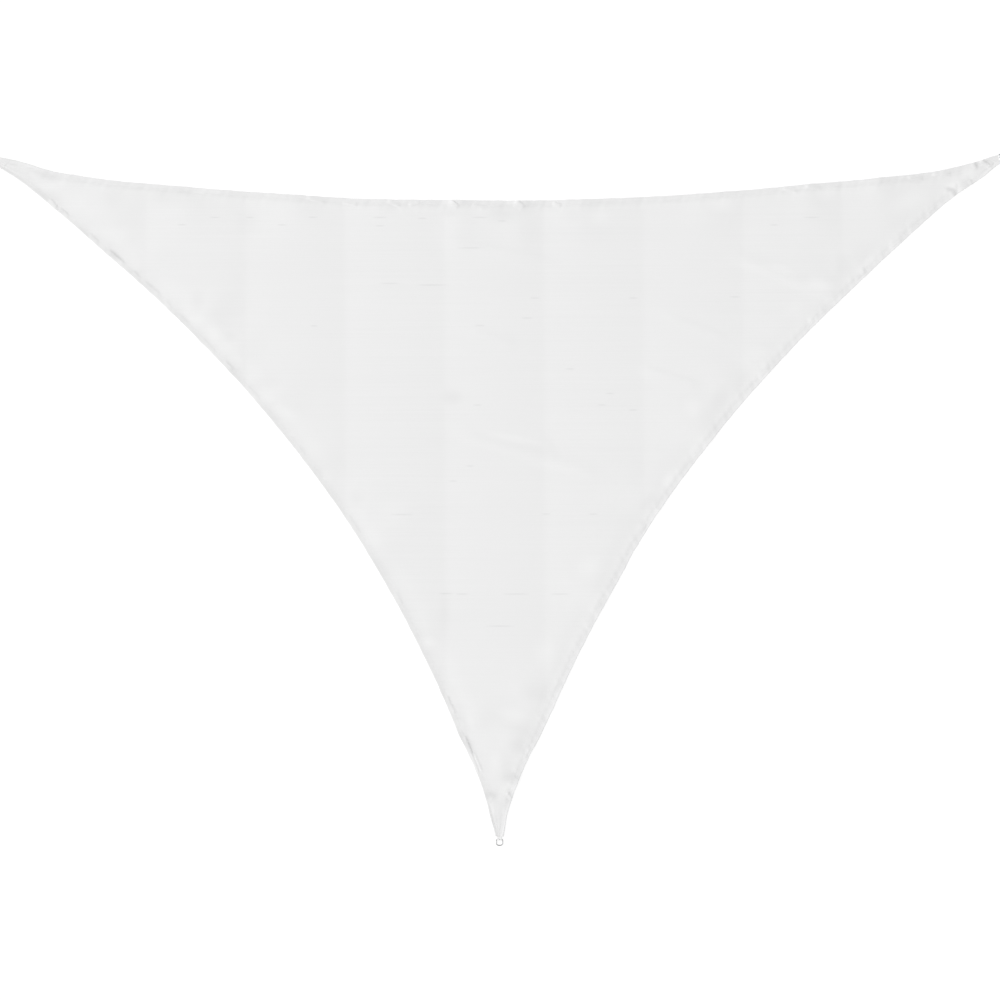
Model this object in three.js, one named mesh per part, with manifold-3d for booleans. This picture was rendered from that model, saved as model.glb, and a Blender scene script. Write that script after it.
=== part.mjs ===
// Triangular shade sail of knitted cloth, lying face up on a level surface.
// Millimetres, +Z up. x runs along the long side, -y points from the long side to the lower corner,
// and z = 0 is the surface. Heights along y are first measured from the line through the ends of the
// two upper rings, and the whole sail is moved at the end so that its box is centred on x = y = 0.
import * as THREE from 'three';
import { mergeVertices } from 'three/addons/utils/BufferGeometryUtils.js';
import Module from 'manifold-3d';

const wasm = await Module();
wasm.setup();

// Overall size, from ring end to ring end
const SPAN = 5950; // across the two upper corners
const DROP = 4030; // from the upper corners down to the lower one
const UPPER_AXIS = THREE.MathUtils.degToRad(25); // upper corners point this far above level

// Outline: each edge is a long inward arc with a short flare into its corner neck
const TOP_SAG = 255; // middle of the long edge, below the upper ring ends
const TOP_RADIUS = 19870;
const SIDE_RADIUS = 7357;
const TOP_FLARE = { start: [2480, -100], leave: [2627, -84], arrive: [2768, -32] };
const UPPER_FLARE = { start: [2295.5, -560], leave: [2501, -374], arrive: [2700, -195] };
const LOWER_FLARE = { start: [231, -3400], leave: [120, -3605], arrive: [70, -3749] };

// Cloth
const CLOTH_THICK = 1.2;
const HEM_THICK = 3;
const HEM_WIDTH = 35;
const HEM_STEP = 5; // the hem slopes down to the single cloth over this width
const NECK_BACK = 60; // neck end, behind the outer end of its ring
const NECK_WIDTH = 48;
const NECK_THICK = 6.8; // gathered hems and the tunnel that holds the straps
const NECK_LENGTH = 330;
const NECK_FULL = 80; // the neck keeps its whole thickness for this length
const NECK_HEM_GAIN = 30; // both hems widen into one another here

// Packing folds: valleys pressed flat on the surface, with a shallow arch between two of them
const FOLD_PITCH = 581.5;
const FOLD_SHIFT = -17.5; // middle of the fold pattern
const FOLDS_EACH_SIDE = 5;
const FOLD_FLAT = 12; // width that lies on the surface
const ARCH_HEIGHT = 2.4;
const ARCH_FADE = 700; // arches die out this near a corner

// Puckers where the seam thread draws the hem up. x runs along the long edge,
// drop is measured down a side edge, and hand is -1 for the left side and 1 for the right.
const TOP_PUCKERS = [
  { x: -1811, height: 5, reach: 80 },
  { x: -1180, height: 4, reach: 110 },
  { x: -232, height: 7, reach: 60 },
  { x: 137, height: 6, reach: 60 },
  { x: 470, height: 4, reach: 90 },
  { x: 1240, height: 4, reach: 110 },
  { x: 1815, height: 5, reach: 80 },
  { x: 2225, height: 6, reach: 70 },
];
const SIDE_PUCKERS = [
  { hand: -1, drop: 245, height: 8, reach: 60 },
  { hand: -1, drop: 495, height: 6, reach: 70 },
  { hand: -1, drop: 705, height: 7, reach: 80 },
  { hand: -1, drop: 1150, height: 8, reach: 80 },
  { hand: -1, drop: 1445, height: 6, reach: 90 },
  { hand: -1, drop: 1840, height: 6, reach: 80 },
  { hand: -1, drop: 2345, height: 7, reach: 90 },
  { hand: -1, drop: 2810, height: 6, reach: 80 },
  { hand: -1, drop: 3415, height: 9, reach: 60 },
  { hand: 1, drop: 205, height: 10, reach: 55 },
  { hand: 1, drop: 880, height: 6, reach: 80 },
  { hand: 1, drop: 1265, height: 7, reach: 80 },
  { hand: 1, drop: 1675, height: 6, reach: 90 },
  { hand: 1, drop: 2105, height: 7, reach: 80 },
  { hand: 1, drop: 2595, height: 6, reach: 80 },
  { hand: 1, drop: 3065, height: 5, reach: 90 },
  { hand: 1, drop: 3645, height: 8, reach: 55 },
];
const PUCKER_CUT = 2.5; // a pucker ends at this many times its reach
const PUCKER_FALL = 4; // power of the cosine that it falls off with

// Grid of the cloth solid
const ARCH_COLUMNS = 6; // steps from one fold to the next
const TIP_COLUMNS = [2520, 2562, 2604, 2646, 2688, 2730, 2768, 2806, 2844, 2882];
const POINT_COLUMNS = [12, 24, 40, 60, 85, 115, 150, 190];
const LEAST_STEP = 14; // columns nearer than this to one already placed are left out
const HEM_SEARCH = 0.37; // most of a column that one hem may take
const HEM_PRECISION = 1e-5; // share of a column to which its hem is found
const STEP_SHARE = 0.05; // most of a column that the slope of one hem may take
const FIELD_ROWS = 8; // rows of the single cloth between its two hems

// Ring: a D of round wire, its straight bar inside the straps
const RING_WIDTH = 42; // outside
const RING_LENGTH = 40; // outside
const WIRE = 6;
const WIRE_SIDES = 12;
const BAR_BEND = 4; // radius of the wire's centre at both ends of the bar
const BAR_BEND_STEPS = 3;
const BOW_DEPTH = 10; // depth of the rounded end, at the wire's centre
const BOW_STEPS = 13; // odd, so that one flat facet faces the bar from the crown
const CROWN_CLEAR = 0.05; // crown of the ring above the surface

// Straps: the two hem webbings come out of the neck, go round the bar and back into their tunnels
const STRAP_THICK = 1.6;
const STRAPS = [
  { name: 'wide', x: -13.8, width: 14.2 },
  { name: 'narrow', x: 3.6, width: 10.2 },
];
const STRAP_HOLD = 60; // length inside the neck
const STRAP_JOIN = 52; // both layers meet here, behind the ring end
const STRAP_BEND = 6; // handle of the S curve that brings them together
const STRAP_SEGMENTS = 6;
const BAR_HOLE = 3.6; // inner radius of the strap's loop
const GAP = 0.3;

// Sizes that follow from those above
const HALF_SPAN = SPAN / 2;
const WIRE_RADIUS = WIRE / 2;
const BAR_BACK = RING_LENGTH - WIRE_RADIUS; // bar centre, behind the ring's outer end
const BAR_HEIGHT = BAR_HOLE + STRAP_THICK; // bar centre, above the surface
const RING_REACH = RING_LENGTH - WIRE; // bar to crown, at the wire's centre
const RING_TILT = Math.asin((BAR_HEIGHT - WIRE_RADIUS - CROWN_CLEAR) / RING_REACH);
const TUNNEL_HEIGHT = NECK_THICK / 2; // middle of the strap's tail

// The three corners: where each ring ends, and the turn that brings -y to its outward direction
const CORNERS = [
  { name: 'left', x: -HALF_SPAN, y: 0, turn: -Math.PI / 2 - UPPER_AXIS },
  { name: 'right', x: HALF_SPAN, y: 0, turn: Math.PI / 2 + UPPER_AXIS },
  { name: 'lower', x: 0, y: -DROP, turn: 0 },
];

const mix = THREE.MathUtils.lerp;

function pointAtCorner(corner, across, back) {
  return new THREE.Vector2(across, back).rotateAround(new THREE.Vector2(), corner.turn)
    .add(new THREE.Vector2(corner.x, corner.y));
}

const NECK_ENDS = CORNERS.map((corner) => pointAtCorner(corner, 0, NECK_BACK));
const RIGHT = CORNERS[1];
const UPPER_NECK_TOP = pointAtCorner(RIGHT, NECK_WIDTH / 2, NECK_BACK);
const UPPER_NECK_UNDER = pointAtCorner(RIGHT, -NECK_WIDTH / 2, NECK_BACK);
const LOWER_NECK = new THREE.Vector2(NECK_WIDTH / 2, NECK_BACK - DROP);

// Continues a path with an arc of the given radius, its centre to the right of the way from start to end.
function addArc(path, end, radius) {
  const start = path.currentPoint.clone();
  const chord = new THREE.Vector2().subVectors(end, start);
  const toCentre = new THREE.Vector2(chord.y, -chord.x).normalize();
  const rise = Math.sqrt(radius ** 2 - (chord.length() / 2) ** 2);
  const centre = start.clone().add(end).multiplyScalar(0.5).addScaledVector(toCentre, rise);
  const from = start.clone().sub(centre).angle();
  const to = end.clone().sub(centre).angle();
  path.absarc(centre.x, centre.y, radius, from, to, true);
}

// Right half of the long edge, as a path from the neck to the middle line.
function topEdgePath() {
  const { start, leave, arrive } = TOP_FLARE;
  const path = new THREE.Path();
  path.moveTo(UPPER_NECK_TOP.x, UPPER_NECK_TOP.y);
  path.bezierCurveTo(...arrive, ...leave, ...start);
  addArc(path, new THREE.Vector2(0, -TOP_SAG), TOP_RADIUS);
  return path;
}

// Right side edge, as a path from the lower neck up to the upper one.
function sideEdgePath() {
  const path = new THREE.Path();
  path.moveTo(LOWER_NECK.x, LOWER_NECK.y);
  path.bezierCurveTo(...LOWER_FLARE.arrive, ...LOWER_FLARE.leave, ...LOWER_FLARE.start);
  addArc(path, new THREE.Vector2(...UPPER_FLARE.start), SIDE_RADIUS);
  path.bezierCurveTo(...UPPER_FLARE.leave, ...UPPER_FLARE.arrive, UPPER_NECK_UNDER.x, UPPER_NECK_UNDER.y);
  return path;
}

const EDGE_POINTS = 160;
const TOP_EDGE = topEdgePath().getSpacedPoints(EDGE_POINTS).reverse();
const SIDE_EDGE = sideEdgePath().getSpacedPoints(EDGE_POINTS);

// Reads one coordinate of a line of points, sorted along the other, by straight steps between them.
function readAlong(line, key, value, at) {
  const after = line.findIndex((point) => point[key] >= at);
  if (after < 0) return line.at(-1)[value];
  if (after === 0) return line[0][value];
  const [a, b] = [line[after - 1], line[after]];
  return mix(a[value], b[value], (at - a[key]) / (b[key] - a[key]));
}

const upperEdge = (x) => readAlong(TOP_EDGE, 'x', 'y', Math.abs(x));
const lowerEdge = (x) => readAlong(SIDE_EDGE, 'x', 'y', Math.abs(x));
const halfWidth = (drop) => readAlong(SIDE_EDGE, 'y', 'x', -drop);

function distanceToLine(line, x, y) {
  const point = new THREE.Vector3(Math.abs(x), y, 0);
  const nearest = new THREE.Vector3();
  let least = Infinity;
  for (let k = 1; k < line.length; k += 1) {
    const [a, b] = [line[k - 1], line[k]].map((p) => new THREE.Vector3(p.x, p.y, 0));
    new THREE.Line3(a, b).closestPointToPoint(point, true, nearest);
    least = Math.min(least, nearest.distanceTo(point));
  }
  return least;
}

const edgeDistance = (x, y) => Math.min(distanceToLine(TOP_EDGE, x, y), distanceToLine(SIDE_EDGE, x, y));
const neckDistance = (x, y) => Math.min(...NECK_ENDS.map((end) => Math.hypot(x - end.x, y - end.y)));

// 1 at a neck's end, 0 where the neck has opened out into the sail.
const neckShare = (x, y) => 1 - THREE.MathUtils.smoothstep(neckDistance(x, y), NECK_FULL, NECK_LENGTH);

// How far a point lies inside the inner edge of its hem.
function pastHem(x, y) {
  return edgeDistance(x, y) - HEM_WIDTH - NECK_HEM_GAIN * neckShare(x, y);
}

function thickness(x, y) {
  const hem = mix(HEM_THICK, NECK_THICK, neckShare(x, y));
  return mix(hem, CLOTH_THICK, THREE.MathUtils.clamp(pastHem(x, y) / HEM_STEP, 0, 1));
}

// Shallow arch between two valleys, zero over the flat strip of each.
function archHeight(x, y) {
  const half = FOLD_PITCH / 2;
  const fromMiddle = THREE.MathUtils.euclideanModulo(x - FOLD_SHIFT + half, FOLD_PITCH) - half;
  const share = Math.min(Math.abs(fromMiddle) / (half - FOLD_FLAT / 2), 1);
  const fade = THREE.MathUtils.smoothstep(neckDistance(x, y), NECK_FULL, ARCH_FADE);
  return ARCH_HEIGHT * (1 - share ** 2) * fade;
}

const PUCKERS = [
  ...TOP_PUCKERS.map(({ x, height, reach }) => ({ x, y: upperEdge(x), height, reach })),
  ...SIDE_PUCKERS.map(({ hand, drop, height, reach }) => {
    return { x: hand * halfWidth(drop), y: -drop, height, reach };
  }),
];

function puckerHeight(x, y) {
  let height = 0;
  for (const pucker of PUCKERS) {
    const away = Math.hypot(x - pucker.x, y - pucker.y) / pucker.reach;
    const slope = Math.cos(Math.min(away / PUCKER_CUT, 1) * (Math.PI / 2));
    height += pucker.height * slope ** PUCKER_FALL;
  }
  return height;
}

const underside = (x, y) => archHeight(x, y) + puckerHeight(x, y);

// Places of the grid's columns, from the left neck to the right one.
function columnPlaces() {
  const places = [];
  for (let fold = -FOLDS_EACH_SIDE; fold < FOLDS_EACH_SIDE; fold += 1) {
    const valley = FOLD_SHIFT + (fold + 0.5) * FOLD_PITCH;
    places.push(valley - FOLD_FLAT / 2, valley + FOLD_FLAT / 2);
  }
  const add = (x) => {
    if (places.every((place) => Math.abs(place - x) >= LEAST_STEP)) places.push(x);
  };
  const ends = [NECK_ENDS[1].x, ...TIP_COLUMNS, ...POINT_COLUMNS];
  for (const x of ends) [-x, x].forEach(add);
  add(0);
  for (let fold = -FOLDS_EACH_SIDE; fold <= FOLDS_EACH_SIDE; fold += 1) {
    for (let step = 0; step < ARCH_COLUMNS; step += 1) {
      const x = FOLD_SHIFT + (fold - 0.5 + (step + 0.5) / ARCH_COLUMNS) * FOLD_PITCH;
      if (Math.abs(x) < TIP_COLUMNS[0]) add(x);
    }
  }
  return places.sort((a, b) => a - b);
}

// Share of the way from one end of a column to the other at which the hem of that end stops.
function hemShare(from, to) {
  let [inHem, beyond] = [0, HEM_SEARCH];
  const inside = (share) => pastHem(mix(from.x, to.x, share), mix(from.y, to.y, share)) < 0;
  if (inside(beyond)) return beyond;
  while (beyond - inHem > HEM_PRECISION) {
    const middle = (inHem + beyond) / 2;
    if (inside(middle)) inHem = middle;
    else beyond = middle;
  }
  return beyond;
}

// Points of one column, from the lower edge to the upper one. Columns lean over towards the neck's end.
function columnPoints(x) {
  const neckEnd = NECK_ENDS[1].x;
  const lean = THREE.MathUtils.smoothstep(Math.abs(x), TIP_COLUMNS[0], neckEnd) * Math.sign(x);
  const low = { x: x + lean * (UPPER_NECK_UNDER.x - neckEnd) };
  const high = { x: x + lean * (UPPER_NECK_TOP.x - neckEnd) };
  low.y = lowerEdge(low.x);
  high.y = upperEdge(high.x);
  const step = Math.min(HEM_STEP / (high.y - low.y), STEP_SHARE);
  const fieldStart = hemShare(low, high) + step;
  const fieldEnd = 1 - hemShare(high, low) - step;
  const shares = [0, fieldStart - step];
  for (let row = 0; row <= FIELD_ROWS; row += 1) shares.push(mix(fieldStart, fieldEnd, row / FIELD_ROWS));
  shares.push(fieldEnd + step, 1);
  return shares.map((share) => [mix(low.x, high.x, share), mix(low.y, high.y, share)]);
}

// A box of one layer whose columns and rows are laid out over the sail.
function sheetGeometry() {
  const grid = columnPlaces().map(columnPoints);
  const [across, up] = [grid.length - 1, grid[0].length - 1];
  const geometry = new THREE.BoxGeometry(across, up, 1, across, up, 1);
  const corners = geometry.attributes.position;
  for (let k = 0; k < corners.count; k += 1) {
    const column = Math.round(corners.getX(k) + across / 2);
    const row = Math.round(corners.getY(k) + up / 2);
    const [x, y] = grid[column][row];
    const layer = corners.getZ(k) > 0 ? thickness(x, y) : 0;
    corners.setXYZ(k, x, y, underside(x, y) + layer);
  }
  return geometry;
}

function welded(geometry) {
  geometry.deleteAttribute('normal');
  geometry.deleteAttribute('uv');
  return mergeVertices(geometry);
}

function toManifold(geometry) {
  const closed = welded(geometry);
  const mesh = new wasm.Mesh({
    numProp: 3,
    vertProperties: new Float32Array(closed.attributes.position.array),
    triVerts: new Uint32Array(closed.index.array),
  });
  return new wasm.Manifold(mesh);
}

function fromManifold(solid) {
  const { vertProperties, triVerts } = solid.getMesh();
  const geometry = new THREE.BufferGeometry();
  geometry.setAttribute('position', new THREE.BufferAttribute(vertProperties, 3));
  geometry.setIndex(new THREE.BufferAttribute(triVerts, 1));
  geometry.computeVertexNormals();
  return geometry;
}

// The tunnel in the neck for the tail of one strap, a little larger than the tail.
function tunnelGeometry(corner, strap) {
  const length = STRAP_HOLD + 2 * GAP;
  const tunnel = new THREE.BoxGeometry(strap.width + 2 * GAP, length, 2 * (STRAP_THICK + GAP));
  tunnel.translate(strap.x + strap.width / 2, NECK_BACK + length / 2 - GAP, TUNNEL_HEIGHT);
  tunnel.rotateZ(corner.turn);
  return tunnel.translate(corner.x, corner.y, 0);
}

function clothGeometry() {
  let solid = toManifold(sheetGeometry());
  for (const corner of CORNERS) {
    for (const strap of STRAPS) solid = solid.subtract(toManifold(tunnelGeometry(corner, strap)));
  }
  return fromManifold(solid);
}

// Side view of a strap: y and z of the sail are the shape's x and y.
function strapShape() {
  const [low, high] = [TUNNEL_HEIGHT - STRAP_THICK, TUNNEL_HEIGHT + STRAP_THICK];
  const tail = NECK_BACK + STRAP_HOLD;
  const top = 2 * BAR_HEIGHT;
  const shape = new THREE.Shape();
  shape.moveTo(tail, low);
  shape.lineTo(tail, high);
  shape.lineTo(STRAP_JOIN, high);
  shape.bezierCurveTo(STRAP_JOIN - STRAP_BEND, high, BAR_BACK + STRAP_BEND, top, BAR_BACK, top);
  shape.absarc(BAR_BACK, BAR_HEIGHT, BAR_HEIGHT, Math.PI / 2, -Math.PI / 2, false);
  shape.bezierCurveTo(BAR_BACK + STRAP_BEND, 0, STRAP_JOIN - STRAP_BEND, low, STRAP_JOIN, low);
  shape.closePath();
  shape.holes.push(new THREE.Path().absarc(BAR_BACK, BAR_HEIGHT, BAR_HOLE, 0, 2 * Math.PI, true));
  return shape;
}

function strapGeometry(strap) {
  const geometry = new THREE.ExtrudeGeometry(strapShape(), {
    depth: strap.width,
    curveSegments: STRAP_SEGMENTS,
    bevelEnabled: false,
  });
  const [x, y, z] = [[1, 0, 0], [0, 1, 0], [0, 0, 1]].map((axis) => new THREE.Vector3(...axis));
  geometry.applyMatrix4(new THREE.Matrix4().makeBasis(y, z, x));
  return geometry.translate(strap.x, 0, 0);
}

function arcPoints(centre, radii, from, to, steps) {
  const arc = new THREE.EllipseCurve(...centre, ...radii, from, to);
  return arc.getPoints(steps);
}

// Centre line of the wire, seen from above and counter-clockwise, with the bar's middle at the origin.
function ringLine() {
  const side = (RING_WIDTH - WIRE) / 2;
  const bends = [BAR_BEND, BAR_BEND];
  const bow = arcPoints([0, BOW_DEPTH - RING_REACH], [side, BOW_DEPTH], Math.PI, 2 * Math.PI, BOW_STEPS);
  const rightBend = arcPoints([side - BAR_BEND, -BAR_BEND], bends, 0, Math.PI / 2, BAR_BEND_STEPS);
  const leftBend = arcPoints([BAR_BEND - side, -BAR_BEND], bends, Math.PI / 2, Math.PI, BAR_BEND_STEPS);
  return [...bow, ...rightBend, ...leftBend];
}

// A torus whose tube follows the ring's line, mitred at each point so that every facet stays flat.
function ringGeometry() {
  const line = ringLine();
  const geometry = new THREE.TorusGeometry(RING_REACH, WIRE_RADIUS, WIRE_SIDES, line.length);
  const corners = geometry.attributes.position;
  const wireCorner = WIRE_RADIUS / Math.cos(Math.PI / WIRE_SIDES);
  for (let k = 0; k < corners.count; k += 1) {
    const at = k % (line.length + 1) % line.length;
    const here = line[at];
    const before = here.clone().sub(line.at(at - 1)).normalize();
    const after = line[(at + 1) % line.length].clone().sub(here).normalize();
    const along = before.clone().add(after).normalize();
    const mitre = wireCorner / along.dot(after);
    const round = (Math.floor(k / (line.length + 1)) + 0.5) * ((2 * Math.PI) / WIRE_SIDES);
    const out = mitre * Math.cos(round);
    corners.setXYZ(k, here.x + along.y * out, here.y - along.x * out, wireCorner * Math.sin(round));
  }
  return geometry;
}

function standard(color, roughness, metalness) {
  return new THREE.MeshStandardMaterial({ color, roughness, metalness });
}

function namedMesh(name, geometry, material) {
  const mesh = new THREE.Mesh(welded(geometry), material);
  mesh.geometry.computeVertexNormals();
  mesh.name = name;
  return mesh;
}

// One corner's ring and straps, with the ring's outer end at the group's origin.
function cornerFittings(corner) {
  const group = new THREE.Group();
  group.position.set(corner.x, corner.y, 0);
  group.rotation.z = corner.turn;
  for (const strap of STRAPS) {
    const name = `strap_${corner.name}_${strap.name}`;
    group.add(namedMesh(name, strapGeometry(strap), standard(0xf0f0ee, 0.75, 0)));
  }
  const ring = namedMesh(`ring_${corner.name}`, ringGeometry(), standard(0xc8cbce, 0.28, 1));
  ring.position.set(0, BAR_BACK, BAR_HEIGHT);
  ring.rotation.x = RING_TILT;
  group.add(ring);
  return group;
}

function shadeSail() {
  const sail = new THREE.Group();
  sail.add(namedMesh('sail_cloth', clothGeometry(), standard(0xf2f2f0, 0.85, 0)));
  for (const corner of CORNERS) sail.add(cornerFittings(corner));
  sail.updateMatrixWorld(true);
  const middle = new THREE.Box3().setFromObject(sail, true).getCenter(new THREE.Vector3());
  sail.position.set(-middle.x, -middle.y, 0);
  sail.updateMatrixWorld(true);
  return sail;
}

export default shadeSail();
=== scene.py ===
import math

import bpy
import numpy as np
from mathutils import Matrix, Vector
from mathutils.geometry import delaunay_2d_cdt


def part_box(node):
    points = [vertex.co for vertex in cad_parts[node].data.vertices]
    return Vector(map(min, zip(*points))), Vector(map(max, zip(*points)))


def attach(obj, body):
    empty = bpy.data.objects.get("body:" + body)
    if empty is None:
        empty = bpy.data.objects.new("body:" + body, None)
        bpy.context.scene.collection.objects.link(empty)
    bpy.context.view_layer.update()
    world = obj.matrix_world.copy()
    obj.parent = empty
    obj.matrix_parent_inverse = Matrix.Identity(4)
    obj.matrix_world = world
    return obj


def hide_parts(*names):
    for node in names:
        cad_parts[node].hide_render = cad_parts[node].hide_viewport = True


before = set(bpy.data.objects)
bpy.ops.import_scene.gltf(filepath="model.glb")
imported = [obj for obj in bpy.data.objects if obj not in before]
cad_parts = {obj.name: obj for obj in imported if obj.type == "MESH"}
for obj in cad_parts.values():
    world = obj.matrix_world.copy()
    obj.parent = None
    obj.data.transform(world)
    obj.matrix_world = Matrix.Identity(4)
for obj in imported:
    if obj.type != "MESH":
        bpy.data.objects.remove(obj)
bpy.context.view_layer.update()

# ------------------------------------------------------------------ sail cloth: outline
# One triangular piece of white knitted polyethylene shade cloth. Each edge is cut hollow, so that
# the sail pulls flat when it is stretched, and flares out into the neck at each of its corners.

MM = 0.001

SPAN = 5.950  # ring end to ring end, across the two upper corners
DROP = 4.030  # from there down to the lower ring end
RING_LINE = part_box("ring_lower")[0].y + DROP  # y of the two upper ring ends
UPPER_AXIS = math.radians(25)  # the upper corners point this far above level
# The cloth ends this far behind each ring's outer end: the upper necks reach right up to the bar.
NECK_BACK = {"left": 0.041, "right": 0.041, "lower": 0.056}
NECK_WIDTH = 0.048

# Points are x and the drop below the line of the upper ring ends.
TOP_SAG = 0.255
TOP_RADIUS = 19.870
SIDE_RADIUS = 7.357
TOP_FLARE = {"start": (2.480, 0.100), "leave": (2.627, 0.084), "arrive": (2.768, 0.032)}
UPPER_FLARE = {"start": (2.2955, 0.560), "leave": (2.501, 0.374), "arrive": (2.700, 0.195)}
LOWER_FLARE = {"start": (0.231, 3.400), "leave": (0.120, 3.605), "arrive": (0.070, 3.749)}

# Where each ring ends, and the turn that brings -y to that corner's outward direction
CORNERS = {
    "left": (-SPAN / 2, 0.0, -math.pi / 2 - UPPER_AXIS),
    "right": (SPAN / 2, 0.0, math.pi / 2 + UPPER_AXIS),
    "lower": (0.0, DROP, 0.0),
}

STATION = 6 * MM  # spacing of the cloth's points along its edges
EDGE_WAVE = 1.2 * MM  # the sewn edge wanders in and out this far
EDGE_WAVE_LENGTHS = (0.083, 0.131, 0.227)
WAVE_GROWTH = 0.3  # the wandering grows from nothing at the necks over this much

# The cut is even-handed, but the cloth lies a little askew. For each edge, places in metres (x on the
# top edge, the drop on a side one), and how many mm inside its cut line the edge lies there.
EDGE_LIES = {
    "top": ((-2.90, -8), (-2.80, -13), (-2.55, -4), (-2.25, 3), (-1.85, -2), (-1.30, -3), (-0.80, 3),
            (-0.25, -2), (0.15, 2), (1.00, 1), (1.45, -2), (1.80, -5), (2.20, 1), (2.50, 6), (2.80, 11),
            (2.90, 5)),
    "left": ((0.05, 7), (0.14, 13), (0.30, 7), (1.05, 6), (1.40, 11), (2.15, 17), (2.60, 13), (3.00, 9),
             (3.40, 4), (3.72, 0), (3.86, -5), (3.97, 0)),
    "right": ((0.05, -6), (0.12, -16), (0.25, -5), (0.50, -9), (0.80, -20), (1.15, -18), (1.60, -12),
              (2.10, -3), (2.28, -5), (2.48, -15), (3.20, -12), (3.50, -1), (3.66, 1), (3.76, 3),
              (3.83, 7), (3.97, 0)),
}


def place(x, drop):
    return np.array((x, RING_LINE - drop))


def at_corner(corner, across, back):
    """Point of a corner, measured across its axis and back from the ring's outer end."""
    x, drop, turn = CORNERS[corner]
    c, s = math.cos(turn), math.sin(turn)
    return place(x, drop) + np.array((c * across - s * back, s * across + c * back))


def bezier(start, leave, arrive, end, steps=60):
    t = np.linspace(0, 1, steps)[:, None]
    u = 1 - t
    return u**3 * start + 3 * u * u * t * leave + 3 * u * t * t * arrive + t**3 * end


def hollow(start, end, radius, steps=200):
    """Arc from start to end, clockwise, with its centre outside the sail."""
    half = np.linalg.norm(end - start) / 2
    right = np.array((end - start)[::-1] * (1, -1)) / (2 * half)
    centre = (start + end) / 2 + right * math.sqrt(radius**2 - half**2)
    first = math.atan2(*(start - centre)[::-1])
    angles = first - np.linspace(0, 2 * math.asin(half / radius), steps)
    return centre + radius * np.column_stack((np.cos(angles), np.sin(angles)))


def evenly(line, step):
    """The same line with its points evenly spaced."""
    run = np.concatenate(([0], np.cumsum(np.linalg.norm(np.diff(line, axis=0), axis=1))))
    keep = np.concatenate(([True], np.diff(run) > 0))
    at = np.linspace(0, run[-1], max(2, round(run[-1] / step) + 1))
    return np.column_stack([np.interp(at, run[keep], line[keep, k]) for k in (0, 1)])


def waves(along, lengths, seed):
    """Uneven wave between -1 and 1: sines of these lengths, at phases that the seed fixes."""
    phases = np.random.default_rng(seed).uniform(0, 2 * math.pi, len(lengths))
    parts = [np.sin(2 * math.pi * along / length + phase) for length, phase in zip(lengths, phases)]
    return sum(parts) / len(lengths)


def inward(line):
    """Unit vectors across a line that runs clockwise round the sail, pointing into it."""
    way = np.gradient(line, axis=0)
    return np.column_stack((way[:, 1], -way[:, 0])) / np.linalg.norm(way, axis=1)[:, None]


def smooth(share):
    share = np.clip(share, 0, 1)
    return share * share * (3 - 2 * share)


def eased(marks, at):
    """Value at each place, easing from mark to mark."""
    places, values = np.array(marks).T
    k = np.clip(np.searchsorted(places, at) - 1, 0, len(places) - 2)
    share = smooth((at - places[k]) / (places[k + 1] - places[k]))
    return values[k] + (values[k + 1] - values[k]) * share


def sewn(edge, line, seed):
    """The edge as it was sewn and as it lies: it wanders a little, but not at the necks."""
    line = evenly(line, STATION)
    run = np.linspace(0, STATION * (len(line) - 1), len(line))
    ends = np.clip(np.minimum(run, run[-1] - run) / WAVE_GROWTH, 0, 1)
    wander = EDGE_WAVE * waves(run, EDGE_WAVE_LENGTHS, seed) * ends
    at = line[:, 0] if edge == "top" else RING_LINE - line[:, 1]
    wander += eased(EDGE_LIES[edge], at) * MM
    return evenly(line + inward(line) * wander[:, None], STATION)


def half_top():
    neck = at_corner("right", NECK_WIDTH / 2, NECK_BACK["right"])
    start, leave, arrive = (place(*TOP_FLARE[key]) for key in ("start", "leave", "arrive"))
    return np.vstack((bezier(neck, arrive, leave, start), hollow(start, place(0, TOP_SAG), TOP_RADIUS)))


def right_side():
    low, high = ([place(*flare[key]) for key in ("start", "leave", "arrive")]
                 for flare in (LOWER_FLARE, UPPER_FLARE))
    neck_low = at_corner("lower", NECK_WIDTH / 2, NECK_BACK["lower"])
    neck_high = at_corner("right", -NECK_WIDTH / 2, NECK_BACK["right"])
    return np.vstack((bezier(neck_low, low[2], low[1], low[0]), hollow(low[0], high[0], SIDE_RADIUS),
                      bezier(*high, neck_high)))


OTHER_HAND = np.array((-1, 1))
half, side = half_top(), right_side()
EDGES = {
    "top": sewn("top", np.vstack((half * OTHER_HAND, half[::-1])), seed=3),
    "right": sewn("right", side[::-1], seed=8),
    "left": sewn("left", side * OTHER_HAND, seed=13),
}
NECK_ENDS = {corner: at_corner(corner, 0, NECK_BACK[corner]) for corner in CORNERS}

# ------------------------------------------------------------------ sail cloth: relief
# The cloth was folded flat for packing and keeps its upright folds. The seams gather the hems a
# little, so they lift here and there and the cloth puffs up inside them, with small sharp tucks.

CLOTH_THICK = 1.2 * MM
HEM_THICK = 3.3 * MM  # where the webbing runs inside the hem
HEM_TURNED = 2.8 * MM  # beyond the webbing
WEBBING_EDGE = (0.005, 0.015)
EDGE_ROUND = 0.6 * MM
HEM_WIDTH = 0.035  # of cloth turned under
HEM_STEP = 3.0 * MM  # underneath, where the turned cloth ends
HEM_BLUR = 0.020  # the shade of the doubled cloth fades over this much
SETTLING = 0.160  # inside the hem the upper side comes down over this much
NECK_BLEND = 0.030  # at the necks the hem runs out over this much more
FULLNESS = 3.3 * MM  # the cloth stands this much higher than its side hems
FULL_START, FULL_RISE, FULL_FALL = 0.022, 0.150, 0.500  # how far in it starts, rises over and falls over
NECK_THICK = 6.8 * MM
NECK_DIP = 1.2 * MM  # the neck is this much lower between the two hems' webbings
NECK_SIDE = 0.022  # in from its edge to where the dip is deepest
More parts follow.
